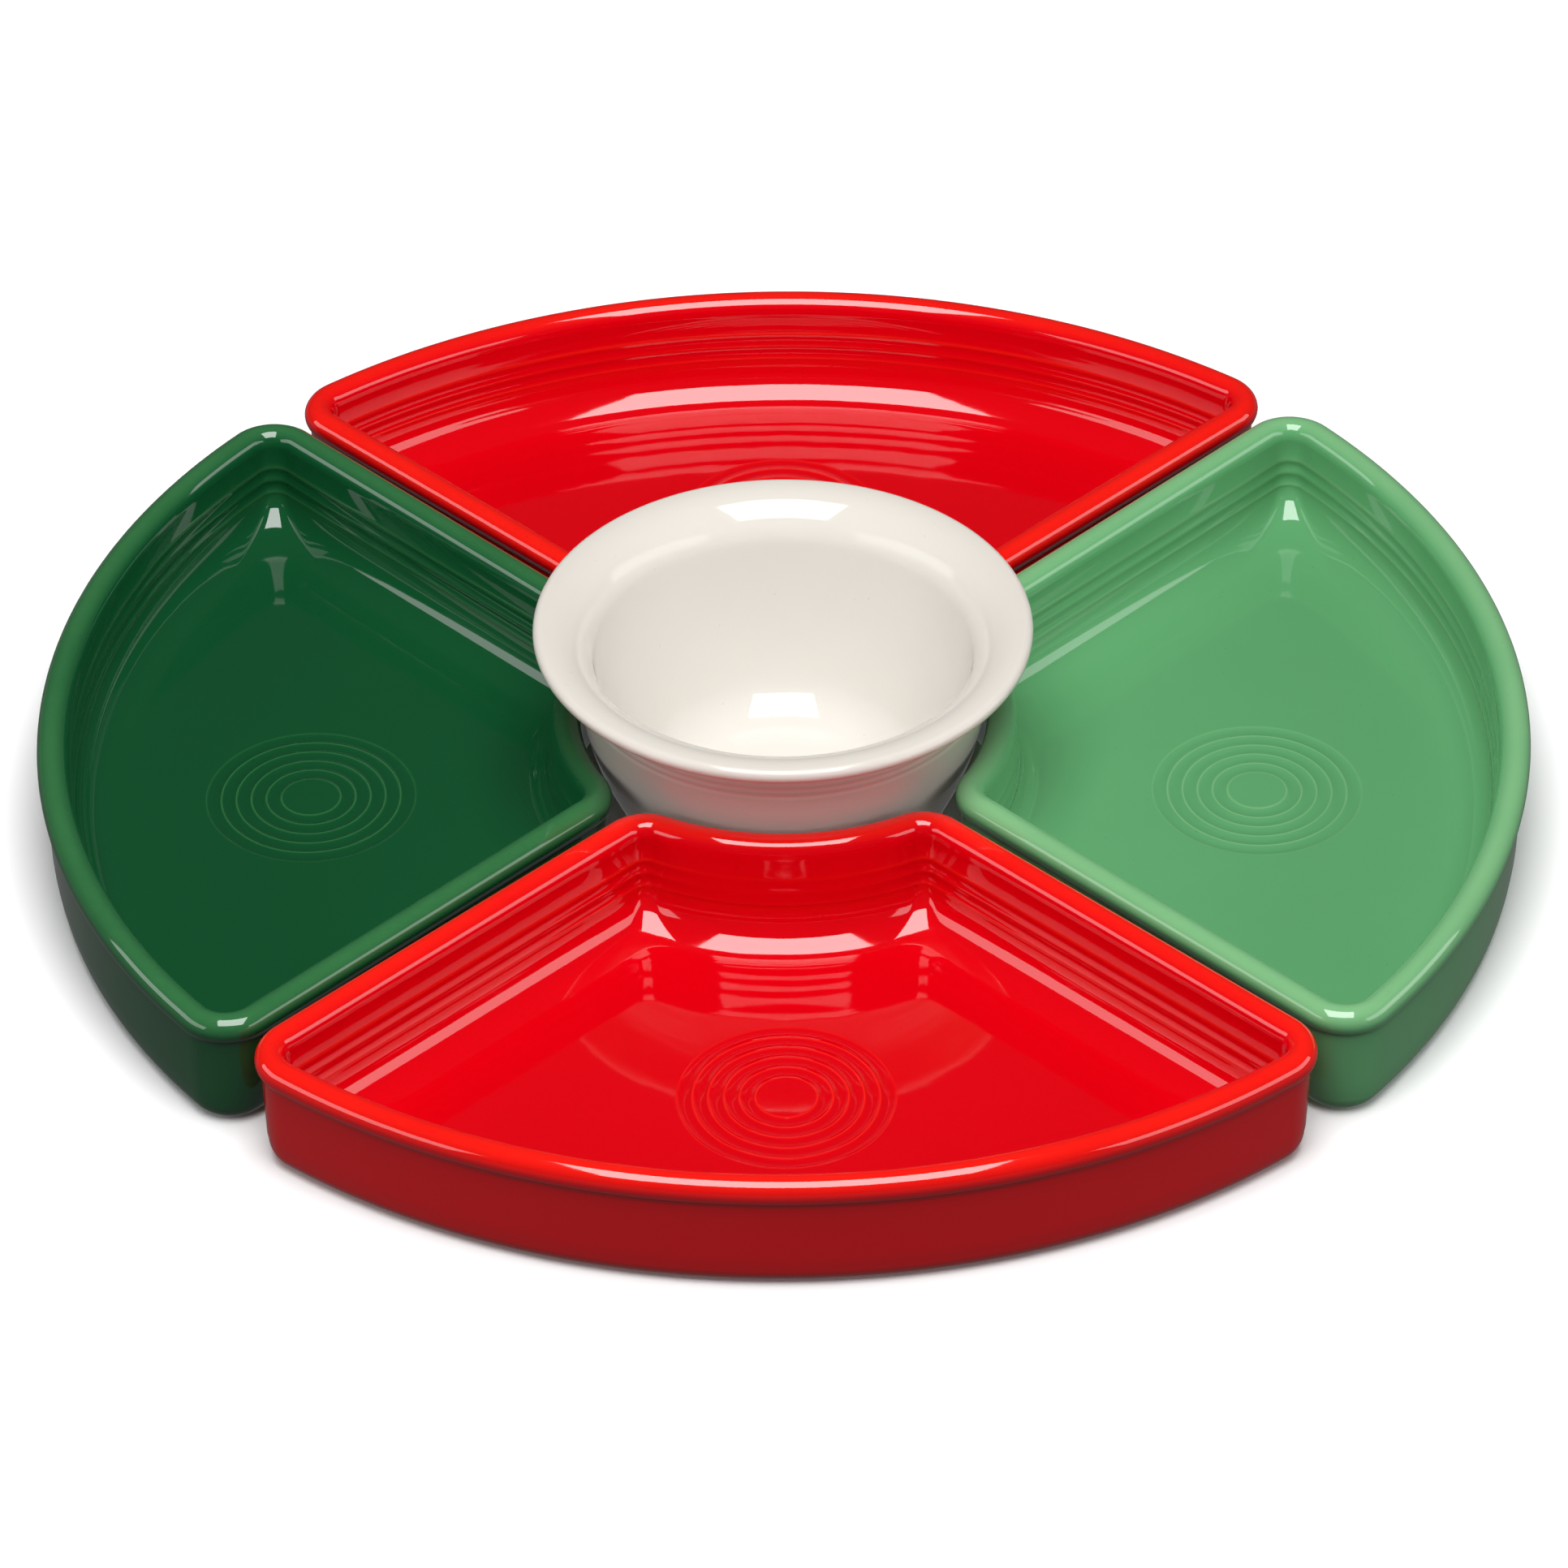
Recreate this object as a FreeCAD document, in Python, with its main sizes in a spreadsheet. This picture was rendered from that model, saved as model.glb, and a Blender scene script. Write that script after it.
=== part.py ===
import FreeCAD, Part
import math
import os
import Sketcher

# Chip and dip server in glazed earthenware: four quarter-ring trays stand in a circle on the table,
# and a flared dip bowl stands loose in the round space that their hollow inner walls leave.
# Millimetres, +Z up. The origin is on the table under the middle of the bowl, and the front tray
# points along -Y. All four trays come from one mould, so one function models the tray pointing along
# +Y, and quarter turns about the bowl's axis put the four copies in place.

Z_AXIS = FreeCAD.Vector(0, 0, 1)

document = FreeCAD.newDocument("chip_and_dip_server")

# Driving dimensions: word, value, meaning. Lengths are in mm and angles in degrees.

DIMENSIONS = [
    # the tray in plan, measured to the outermost line of its rim
    ("outer_radius", 221.2, "radius of the long outer wall"),
    ("outer_centre_back", 6.7, "how far the outer wall's centre lies behind the bowl's axis"),
    ("inner_radius", 69.4, "radius of the short hollow wall that faces the bowl"),
    ("bowl_clearance", 3.3, "gap between the tray's rim and the bowl, on the tray's centre line"),
    ("neighbour_gap", 6.3, "gap between the side walls of two trays, produced to the bowl's axis"),
    ("side_turn", 0.42, "degrees by which a side wall leans out past the diagonal"),
    ("outer_corner", 15.2, "plan radius of the two corners at the long wall"),
    ("inner_corner", 14.2, "plan radius of the two corners beside the bowl"),
    # the tray in section
    ("tray_height", 38.0, "table to the top of the rim"),
    ("bead_radius", 4.3, "half the thickness of the rolled rim"),
    ("bead_overhang", 1.5, "how far the rim stands out past the wall under it"),
    ("outside_draft", 2.0, "degrees by which the outside wall leans in towards the base"),
    ("base_round", 7.0, "radius where the outside wall turns under"),
    ("inside_draft", 5.0, "degrees by which the inside wall leans in towards the floor"),
    ("floor_thickness", 5.0, "table to the tray's floor"),
    ("cove_radius", 12.5, "radius of the sweep from the inside wall to the floor"),
    ("cove_corner", 24.0, "plan radius of the floor's corners"),
    # the three soft ridges around the inside wall
    ("ridge_radius", 1.2, "radius of a ridge's round crest"),
    ("ridge_stand", 0.45, "how far a ridge stands out of the wall"),
    ("ridge_lift", 0.2, "top of the sweep up to the lowest ridge"),
    ("ridge_pitch", 4.3, "height from one ridge to the next"),
    # the ring relief in the tray's floor
    ("ring_shift", 0.85, "how far the rings lie outside the middle of the tray"),
    ("ring_plateau", 8.6, "radius of the flat middle of the rings"),
    ("ring_pitch", 4.35, "width of one ring groove"),
    ("ring_depth", 0.5, "depth of one ring groove"),
    # the foot under the tray
    ("foot_width", 5.0, "width of the band that meets the table"),
    ("foot_hollow", 1.4, "depth of the hollow inside that band"),
    ("foot_corner", 4.0, "plan radius of the hollow's corners"),
    # the dip bowl
    ("bowl_height", 67.0, "table to the top of the lip"),
    ("lip_flare", 11.9, "how far the lip reaches out past the round body"),
    ("lip_edge", 2.2, "radius of the lip's round edge"),
    ("lip_rise", 27.0, "degrees by which the flared lip climbs outwards"),
    ("body_radius", 59.6, "outside radius of the bowl's round body at its widest"),
    ("body_widest_drop", 10.5, "lip top down to where the round body is widest"),
    ("bowl_wall", 4.6, "thickness of the bowl's wall"),
    ("bend_inside", 8.0, "radius of the bend from the lip to the inside wall"),
    ("bend_outside", 3.0, "radius of the hollow bend under the lip"),
    ("bowl_floor", 8.0, "table to the middle of the bowl's inside"),
    ("bowl_floor_radius", 25.9, "radius at which the inside wall would meet the floor"),
    ("bowl_floor_round", 20.0, "radius where the bowl's inside wall turns into its floor"),
    ("bowl_foot_radius", 32.0, "outside radius of the bowl's foot ring"),
    ("bowl_foot_height", 6.2, "table to where the round body grows out of the foot ring"),
    ("bowl_foot_width", 4.5, "width of the foot ring"),
    ("bowl_foot_hollow", 2.5, "depth of the hollow inside the foot ring"),
    ("bowl_foot_round", 0.8, "radius of the foot ring's edges"),
    ("turned_line_radius", 0.9, "radius of each turned line in section"),
    ("turned_line_depth", 0.3, "depth of each turned line under the lip"),
    ("turned_line_drop", 13.4, "lip top down to the highest turned line"),
    ("turned_line_pitch", 2.3, "height from one turned line to the next"),
]
RIDGE_COUNT = 3
RING_COUNT = 5
TURNED_LINE_COUNT = 3
ROUND_STEPS = 5
TRAYS = [("tray_back", 0), ("tray_left", 90), ("tray_front", 180), ("tray_right", 270)]

sheet = document.addObject("Spreadsheet::Sheet", "sizes")
for row, (word, size, meaning) in enumerate(DIMENSIONS, start=1):
    sheet.set(f"A{row}", meaning)
    sheet.set(f"B{row}", str(size))
    sheet.setAlias(f"B{row}", word)
document.recompute()


def value(formula):
    """The number that a formula in the sheet's words comes to."""
    result = sheet.evalExpression(formula)
    return float(getattr(result, "Value", result))


def plane_of(body, role):
    return next(item for item in body.Origin.OriginFeatures if item.Role == role)


def new_sketch(body, name, role, height=None):
    """An empty sketch on one of the body's own origin planes, lifted by a formula if one is given."""
    sketch = body.newObject("Sketcher::SketchObject", name)
    sketch.AttachmentSupport = [(plane_of(body, role), "")]
    sketch.MapMode = "FlatFace"
    if height is not None:
        sketch.setExpression("AttachmentOffset.Base.z", height)
    return sketch


def bind(sketch, name, formula, *constraint):
    """Adds one dimension to a sketch, under a name, and ties it to the sheet."""
    kind, *places = constraint
    number = value(formula)
    if kind == "Angle":
        number = math.radians(number)
    index = sketch.addConstraint(Sketcher.Constraint(kind, *places, number))
    sketch.renameConstraint(index, name)
    unit = " * 1 deg" if kind == "Angle" else " * 1 mm"
    sketch.setExpression(f"Constraints.{name}", f"({formula}){unit}")


def arc(centre_x, centre_y, radius, start, end):
    circle = Part.Circle(FreeCAD.Vector(centre_x, centre_y, 0), Z_AXIS, radius)
    return Part.ArcOfCircle(circle, start, end)


def line(start, end):
    return Part.LineSegment(FreeCAD.Vector(*start, 0), FreeCAD.Vector(*end, 0))


# The bowl's round body in section: an arc that is upright at its widest line and runs down to the foot
# ring, and inside it another that runs down to the edge of the floor.


def bend_radius(run, rise):
    """Radius of an arc that starts upright and gets `run` further in while it falls by `rise`."""
    return f"(({run}) ^ 2 + ({rise}) ^ 2) / (2 * ({run}))"


WIDEST_LINE = "sizes.bowl_height - sizes.body_widest_drop"
INSIDE_RADIUS = "sizes.body_radius - sizes.bowl_wall"
FOOT_RADIUS = "sizes.bowl_foot_radius"
BODY_BEND = bend_radius(f"sizes.body_radius - {FOOT_RADIUS}", f"{WIDEST_LINE} - sizes.bowl_foot_height")
INSIDE_BEND = bend_radius(f"{INSIDE_RADIUS} - sizes.bowl_floor_radius", f"{WIDEST_LINE} - sizes.bowl_floor")


def body_out(level):
    """How far the round body's outside is from the bowl's axis at a height, both as formulas."""
    return f"sizes.body_radius - {BODY_BEND} + sqrt(({BODY_BEND}) ^ 2 - ({WIDEST_LINE} - ({level})) ^ 2)"


# Lines of the tray that more than one of its sections uses. Its short wall keeps clear of the bowl.
RIM_LINE = "sizes.tray_height - sizes.bead_radius"
RIM_INSET = "sizes.bead_radius * 2"
COVE_TOP = "(sizes.floor_thickness + sizes.cove_radius)"
COVE_INSET = f"{RIM_INSET} + ({RIM_LINE} - {COVE_TOP}) * tan(sizes.inside_draft * 1 deg)"
BASE_INSET = f"sizes.bead_overhang + ({RIM_LINE} - sizes.base_round) * tan(sizes.outside_draft * 1 deg)"
FAR_LINE = "sizes.outer_radius - sizes.outer_centre_back"
NEAR_LINE = f"{body_out(RIM_LINE)} + sizes.bowl_clearance"
INNER_BACK = f"sizes.inner_radius - ({NEAR_LINE})"
RING_PLACE = f"({FAR_LINE} + {NEAR_LINE}) / 2 + sizes.ring_shift"

# The tray's plan: a long outer arc, a short hollow inner arc, two straight sides and four round
# corners, everything tangent. Each section of the tray is this outline, drawn further in.

OUTER, RIGHT_OUT, RIGHT, RIGHT_IN, INNER, LEFT_IN, LEFT, LEFT_OUT = range(8)
START, END, CENTRE = 1, 2, 3
ORIGIN = (-1, 1)
UP_AXIS = -2


def corner_centre(to_side, lean, centre_y, reach):
    """The point `to_side` inside the right side wall and `reach` from an arc centre on the Y axis."""
    inward = (-math.cos(lean) * to_side, math.sin(lean) * to_side)
    along = (math.sin(lean), math.cos(lean))
    back = inward[0] * along[0] + (inward[1] - centre_y) * along[1]
    spare = inward[0] ** 2 + (inward[1] - centre_y) ** 2 - reach**2
    travel = -back + math.sqrt(back * back - spare)
    return inward[0] + travel * along[0], inward[1] + travel * along[1]


def outline(body, name, height, inset, outer_corner, inner_corner):
    """The tray's plan `inset` inside the rim's outermost line. All five sizes are formulas."""
    sketch = new_sketch(body, name, "XY_Plane", height)
    lean = math.radians(45 + value("sizes.side_turn"))
    to_side = value(f"sizes.neighbour_gap / 2 + {inset}")
    big, small = value(f"sizes.outer_radius - ({inset})"), value(f"sizes.inner_radius + ({inset})")
    out, beside = value(outer_corner), value(inner_corner)
    big_y, small_y = -value("sizes.outer_centre_back"), -value(INNER_BACK)
    out_x, out_y = corner_centre(to_side + out, lean, big_y, big - out)
    in_x, in_y = corner_centre(to_side + beside, lean, small_y, small + beside)
    big_end = math.atan2(out_y - big_y, out_x)
    small_end = math.atan2(in_y - small_y, in_x)
    normal = (math.cos(lean), -math.sin(lean))
    outer_touch = (out_x + out * normal[0], out_y + out * normal[1])
    inner_touch = (in_x + beside * normal[0], in_y + beside * normal[1])
    turn = math.pi
    sketch.addGeometry(
        [
            arc(0, big_y, big, big_end, turn - big_end),
            arc(out_x, out_y, out, -lean, big_end),
            line(inner_touch, outer_touch),
            arc(in_x, in_y, beside, small_end - turn, -lean),
            arc(0, small_y, small, small_end, turn - small_end),
            arc(-in_x, in_y, beside, turn + lean, 2 * turn - small_end),
            line((-inner_touch[0], inner_touch[1]), (-outer_touch[0], outer_touch[1])),
            arc(-out_x, out_y, out, turn - big_end, turn + lean),
        ]
    )
    joins = [
        (RIGHT_OUT, END, OUTER, START),
        (RIGHT_OUT, START, RIGHT, END),
        (RIGHT, START, RIGHT_IN, END),
        (RIGHT_IN, START, INNER, START),
        (INNER, END, LEFT_IN, END),
        (LEFT_IN, START, LEFT, START),
        (LEFT, END, LEFT_OUT, END),
        (LEFT_OUT, START, OUTER, END),
    ]
    sketch.addConstraint([Sketcher.Constraint("Tangent", *join) for join in joins])
    sketch.addConstraint(Sketcher.Constraint("PointOnObject", OUTER, CENTRE, UP_AXIS))
    sketch.addConstraint(Sketcher.Constraint("PointOnObject", INNER, CENTRE, UP_AXIS))
    sketch.addConstraint(Sketcher.Constraint("Equal", RIGHT_OUT, LEFT_OUT))
    sketch.addConstraint(Sketcher.Constraint("Equal", RIGHT_IN, LEFT_IN))
    sketch.addConstraint(Sketcher.Constraint("Symmetric", RIGHT, END, LEFT, END, UP_AXIS))
    bind(sketch, "outer_radius", f"sizes.outer_radius - ({inset})", "Radius", OUTER)
    bind(sketch, "inner_radius", f"sizes.inner_radius + ({inset})", "Radius", INNER)
    bind(sketch, "outer_corner", outer_corner, "Radius", RIGHT_OUT)
    bind(sketch, "inner_corner", inner_corner, "Radius", RIGHT_IN)
    bind(sketch, "outer_back", "sizes.outer_centre_back", "DistanceY", OUTER, CENTRE, *ORIGIN)
    bind(sketch, "inner_back", INNER_BACK, "DistanceY", INNER, CENTRE, *ORIGIN)
    bind(sketch, "side_inset", f"sizes.neighbour_gap / 2 + {inset}", "Distance", *ORIGIN, RIGHT)
    bind(sketch, "side_angle", "45 - sizes.side_turn", "Angle", RIGHT)
    return sketch


def inset_outline(body, name, height, inset):
    """The plan drawn further in with its corners kept concentric."""
    corners = [f"sizes.{corner} - ({inset})" for corner in ("outer_corner", "inner_corner")]
    return outline(body, name, height, inset, *corners)


def add_wall(body):
    """The block that the tray is hollowed from: the drafted outside wall on a round under-edge."""
    wall = body.newObject("PartDesign::AdditiveLoft", "wall")
    wall.Profile = inset_outline(body, "wall_foot", "sizes.base_round", BASE_INSET)
    wall.Sections = [inset_outline(body, "wall_top", RIM_LINE, "sizes.bead_overhang")]
    sections = []
    for step in range(ROUND_STEPS + 1):
        angle = 90 * step / ROUND_STEPS
        height = f"sizes.base_round * (1 - sin({angle} deg))"
        inset = f"{BASE_INSET} + sizes.base_round * (1 - cos({angle} deg))"
        sections.append(inset_outline(body, f"base_{step}", height, inset))
    base = body.newObject("PartDesign::AdditiveLoft", "base_round")
    base.Profile = sections[0]
    base.Sections = sections[1:]


def add_bead(body):
    """The rolled rim: a round section carried all the way around the top of the wall."""
    path = inset_outline(body, "bead_path", RIM_LINE, "sizes.bead_radius")
    section = new_sketch(body, "bead_section", "YZ_Plane")
    far = f"{FAR_LINE} - sizes.bead_radius"
    circle = Part.Circle(FreeCAD.Vector(value(far), value(RIM_LINE), 0), Z_AXIS, value("sizes.bead_radius"))
    section.addGeometry(circle)
    bind(section, "radius", "sizes.bead_radius", "Radius", 0)
    bind(section, "far", far, "DistanceX", *ORIGIN, 0, CENTRE)
    bind(section, "rim_line", RIM_LINE, "DistanceY", *ORIGIN, 0, CENTRE)
    bead = body.newObject("PartDesign::AdditivePipe", "bead")
    bead.Profile = section
    bead.Spine = path


def add_hollow(body):
    """The tray's inside, cut in two stages: the drafted wall, then the sweep down to the floor."""
    rim = inset_outline(body, "rim_opening", RIM_LINE, RIM_INSET)
    waist = inset_outline(body, "inside_foot", COVE_TOP, COVE_INSET)
    upper = body.newObject("PartDesign::SubtractiveLoft", "upper_hollow")
    upper.Profile = rim
    upper.Sections = [waist]
    sections = [inset_outline(body, "cove_0", COVE_TOP, COVE_INSET)]
    for step in range(1, ROUND_STEPS + 1):
        angle = 90 * step / ROUND_STEPS
        sunk = f"sin({angle} deg)"
        swept = f"(1 - cos({angle} deg))"
        inset = f"{COVE_INSET} + sizes.cove_radius * {swept}"
        corners = [
            f"(sizes.{corner} - ({COVE_INSET})) * (1 - {swept}) + sizes.cove_corner * {swept}"
            for corner in ("outer_corner", "inner_corner")
        ]
        height = f"{COVE_TOP} - sizes.cove_radius * {sunk}"
        sections.append(outline(body, f"cove_{step}", height, inset, *corners))
    lower = body.newObject("PartDesign::SubtractiveLoft", "lower_hollow")
    lower.Profile = sections[0]
    lower.Sections = sections[1:]


def add_ridges(body):
    """Three soft ridges that run around the inside wall, one above another."""
    sunk = "(sizes.ridge_radius - sizes.ridge_stand)"
    for number in range(RIDGE_COUNT):
        height = f"{COVE_TOP} + sizes.ridge_lift + {number} * sizes.ridge_pitch"
        inset = f"{RIM_INSET} + ({RIM_LINE} - ({height})) * tan(sizes.inside_draft * 1 deg) - {sunk}"
        path = inset_outline(body, f"ridge_path_{number + 1}", height, inset)
        section = new_sketch(body, f"ridge_section_{number + 1}", "YZ_Plane")
        far = f"{FAR_LINE} - ({inset})"
        centre = FreeCAD.Vector(value(far), value(height), 0)
        section.addGeometry(Part.Circle(centre, Z_AXIS, value("sizes.ridge_radius")))
        bind(section, "radius", "sizes.ridge_radius", "Radius", 0)
        bind(section, "far", far, "DistanceX", *ORIGIN, 0, CENTRE)
        bind(section, "level", height, "DistanceY", *ORIGIN, 0, CENTRE)
        ridge = body.newObject("PartDesign::AdditivePipe", f"ridge_{number + 1}")
        ridge.Profile = section
        ridge.Spine = path


def add_floor_rings(body):
    """Shallow round-bottomed ring grooves in the floor, with a sharp crest between each two."""
    section = new_sketch(body, "ring_section", "YZ_Plane")
    half = value("sizes.ring_pitch") / 2
    depth = value("sizes.ring_depth")
    floor = value("sizes.floor_thickness")
    radius = (half**2 + depth**2) / (2 * depth)
    sweep = math.asin(half / radius)
    for number in range(RING_COUNT):
        middle = f"{RING_PLACE} + sizes.ring_plateau + {number + 0.5} * sizes.ring_pitch"
        middle_y = value(middle)
        base = 2 * number
        down = -math.pi / 2
        section.addGeometry(arc(middle_y, floor - depth + radius, radius, down - sweep, down + sweep))
        section.addGeometry(line((middle_y + half, floor), (middle_y - half, floor)))
        section.addConstraint(Sketcher.Constraint("Coincident", base, END, base + 1, START))
        section.addConstraint(Sketcher.Constraint("Coincident", base, START, base + 1, END))
        section.addConstraint(Sketcher.Constraint("Horizontal", base + 1))
        groove = f"groove_{number + 1}"
        bind(section, f"{groove}_width", "sizes.ring_pitch", "DistanceX", base + 1, END, base + 1, START)
        near = f"{middle} - sizes.ring_pitch / 2"
        bind(section, f"{groove}_near", near, "DistanceX", *ORIGIN, base + 1, END)
        bind(section, f"{groove}_top", "sizes.floor_thickness", "DistanceY", *ORIGIN, base + 1, END)
        bend = "((sizes.ring_pitch / 2) ^ 2 + sizes.ring_depth ^ 2) / (2 * sizes.ring_depth)"
        bind(section, f"{groove}_bend", bend, "Radius", base)
    pin = new_sketch(body, "ring_axis", "YZ_Plane")
    place = value(RING_PLACE)
    pin.addGeometry(line((place, 0), (place, 2 * floor)))
    pin.addConstraint(Sketcher.Constraint("Vertical", 0))
    bind(pin, "place", RING_PLACE, "DistanceX", *ORIGIN, 0, START)
    bind(pin, "foot", "sizes.floor_thickness", "DistanceY", 0, START, 0, END)
    rings = body.newObject("PartDesign::Groove", "floor_rings")
    rings.Profile = section
    rings.ReferenceAxis = (pin, ["Edge1"])
    rings.Angle = 360


def add_foot(body):
    """The shallow hollow underneath, which leaves a flat band for the tray to stand on."""
    inset = f"{BASE_INSET} + sizes.base_round + sizes.foot_width"
    plan = outline(body, "foot_plan", "0", inset, "sizes.foot_corner", "sizes.foot_corner")
    hollow = body.newObject("PartDesign::Pocket", "foot_hollow")
    hollow.Profile = plan
    hollow.Reversed = True
    hollow.setExpression("Length", "sizes.foot_hollow")


def build_tray(label, turn):
    body = document.addObject("PartDesign::Body", label)
    body.Label = label
    add_wall(body)
    add_bead(body)
    add_hollow(body)
    add_ridges(body)
    add_floor_rings(body)
    add_foot(body)
    body.Placement = FreeCAD.Placement(FreeCAD.Vector(0, 0, 0), FreeCAD.Rotation(Z_AXIS, turn))
    return body


# The dip bowl is turned: one section carried around the Z axis, then its bends rounded.

LIP_CENTRE_OUT = "sizes.body_radius + sizes.lip_flare - sizes.lip_edge"
LIP_CENTRE_UP = "sizes.bowl_height - sizes.lip_edge"


def lip_face(side, widest, bend):
    """Two points of one face of the lip (side 1 above, -1 below), the rest numbers.

    The first is where the face runs into the round wall, which is `widest` from the axis at its widest
    line and curves by `bend`. The second is where the face runs into the lip's round edge.
    """
    rise = math.radians(value("sizes.lip_rise"))
    edge = value("sizes.lip_edge") * side
    touch_out = value(LIP_CENTRE_OUT) - edge * math.sin(rise)
    touch_up = value(LIP_CENTRE_UP) + edge * math.cos(rise)
    out, up = touch_out - (widest - bend), touch_up - value(WIDEST_LINE)
    along = out * math.cos(rise) + up * math.sin(rise)
    back = along - math.sqrt(along**2 - out**2 - up**2 + bend**2)
    return (touch_out - back * math.cos(rise), touch_up - back * math.sin(rise)), (touch_out, touch_up)


def add_turned_body(body, under, above):
    """Foot ring, round body, flared lip with a round edge, and the inside down to a flat floor."""
    section = new_sketch(body, "bowl_section", "XZ_Plane")
    widest = value(WIDEST_LINE)
    outside, outside_bend = value("sizes.body_radius"), value(BODY_BEND)
    inside, inside_bend = value(INSIDE_RADIUS), value(INSIDE_BEND)
    foot, foot_top = value("sizes.bowl_foot_radius"), value("sizes.bowl_foot_height")
    foot_inside = foot - value("sizes.bowl_foot_width")
    hollow = value("sizes.bowl_foot_hollow")
    floor, floor_edge = value("sizes.bowl_floor"), value("sizes.bowl_floor_radius")
    (below_meet, below_touch), (above_meet, above_touch) = under, above
    body_centre, inside_centre = outside - outside_bend, inside - inside_bend
    body_start = math.atan2(foot_top - widest, foot - body_centre)
    body_end = math.atan2(below_meet[1] - widest, below_meet[0] - body_centre)
    inside_start = math.atan2(floor - widest, floor_edge - inside_centre)
    inside_end = math.atan2(above_meet[1] - widest, above_meet[0] - inside_centre)
    rise, quarter = math.radians(value("sizes.lip_rise")), math.pi / 2
    lip_out, lip_up, lip_edge = value(LIP_CENTRE_OUT), value(LIP_CENTRE_UP), value("sizes.lip_edge")
    roof, band, ground, side, round_body, below, edge, above, round_inside, flat, axis = range(11)
    section.addGeometry(
        [
            line((0, hollow), (foot_inside, hollow)),
            line((foot_inside, hollow), (foot_inside, 0)),
            line((foot_inside, 0), (foot, 0)),
            line((foot, 0), (foot, foot_top)),
            arc(body_centre, widest, outside_bend, body_start, body_end),
            line(below_meet, below_touch),
            arc(lip_out, lip_up, lip_edge, rise - quarter, rise + quarter),
            line(above_touch, above_meet),
            arc(inside_centre, widest, inside_bend, inside_start, inside_end),
            line((floor_edge, floor), (0, floor)),
            line((0, floor), (0, hollow)),
        ]
    )
    joins = [
        ("Coincident", roof, END, band, START),
        ("Coincident", band, END, ground, START),
        ("Coincident", ground, END, side, START),
        ("Coincident", side, END, round_body, START),
        ("Coincident", round_body, END, below, START),
        ("Tangent", below, END, edge, START),
        ("Tangent", edge, END, above, START),
        ("Coincident", above, END, round_inside, END),
        ("Coincident", round_inside, START, flat, START),
        ("Coincident", flat, END, axis, START),
        ("Coincident", axis, END, roof, START),
        ("Horizontal", roof),
        ("Vertical", band),
        ("Horizontal", ground),
        ("Vertical", side),
        ("Horizontal", flat),
        ("PointOnObject", axis, START, UP_AXIS),
        ("PointOnObject", axis, END, UP_AXIS),
        ("PointOnObject", ground, START, -1),
        ("Parallel", below, above),
    ]
    section.addConstraint([Sketcher.Constraint(*join) for join in joins])
    bind(section, "body_widest", WIDEST_LINE, "DistanceY", *ORIGIN, round_body, CENTRE)
    bind(section, "body_bend", BODY_BEND, "Radius", round_body)
    bind(section, "inside_widest", WIDEST_LINE, "DistanceY", *ORIGIN, round_inside, CENTRE)
    bind(section, "inside_bend", INSIDE_BEND, "Radius", round_inside)
    bind(section, "lip_edge", "sizes.lip_edge", "Radius", edge)
    bind(section, "lip_out", LIP_CENTRE_OUT, "DistanceX", *ORIGIN, edge, CENTRE)
    bind(section, "lip_up", LIP_CENTRE_UP, "DistanceY", *ORIGIN, edge, CENTRE)
    bind(section, "lip_rise", "sizes.lip_rise", "Angle", below)
    bind(section, "floor", "sizes.bowl_floor", "DistanceY", *ORIGIN, flat, END)
    bind(section, "floor_radius", "sizes.bowl_floor_radius", "DistanceX", *ORIGIN, flat, START)
    bind(section, "foot_hollow", "sizes.bowl_foot_hollow", "DistanceY", *ORIGIN, roof, START)
    bind(section, "foot_radius", "sizes.bowl_foot_radius", "DistanceX", *ORIGIN, ground, END)
    bind(section, "foot_width", "sizes.bowl_foot_width", "DistanceX", ground, START, ground, END)
    bind(section, "foot_height", "sizes.bowl_foot_height", "DistanceY", *ORIGIN, side, END)
    turned = body.newObject("PartDesign::Revolution", "turned_body")
    turned.Profile = section
    turned.ReferenceAxis = (section, ["V_Axis"])
    turned.Angle = 360
    return turned


def add_ring_fillet(body, name, base, size, out, up):
    """Rounds the circular edge that has the radius `out` at the height `up`."""
    document.recompute()
    edges = [
        f"Edge{index}"
        for index, edge in enumerate(base.Shape.Edges, start=1)
        if isinstance(edge.Curve, Part.Circle)
        and abs(edge.Curve.Radius - out) < 1e-3
        and abs(edge.Curve.Center.z - up) < 1e-3
    ]
    fillet = body.newObject("PartDesign::Fillet", name)
    fillet.Base = (base, edges)
    fillet.setExpression("Radius", size)
    return fillet


def add_turned_lines(body):
    """Fine lines turned into the outside, one above another, just under the lip."""
    section = new_sketch(body, "turned_line_section", "XZ_Plane")
    for number in range(TURNED_LINE_COUNT):
        level = f"sizes.bowl_height - sizes.turned_line_drop - {number} * sizes.turned_line_pitch"
        out = f"{body_out(level)} + sizes.turned_line_radius - sizes.turned_line_depth"
        centre = FreeCAD.Vector(value(out), value(level), 0)
        section.addGeometry(Part.Circle(centre, Z_AXIS, value("sizes.turned_line_radius")))
        bind(section, f"radius_{number + 1}", "sizes.turned_line_radius", "Radius", number)
        bind(section, f"out_{number + 1}", out, "DistanceX", *ORIGIN, number, CENTRE)
        bind(section, f"level_{number + 1}", level, "DistanceY", *ORIGIN, number, CENTRE)
    lines = body.newObject("PartDesign::Groove", "turned_lines")
    lines.Profile = section
    lines.ReferenceAxis = (section, ["V_Axis"])
    lines.Angle = 360


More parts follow.
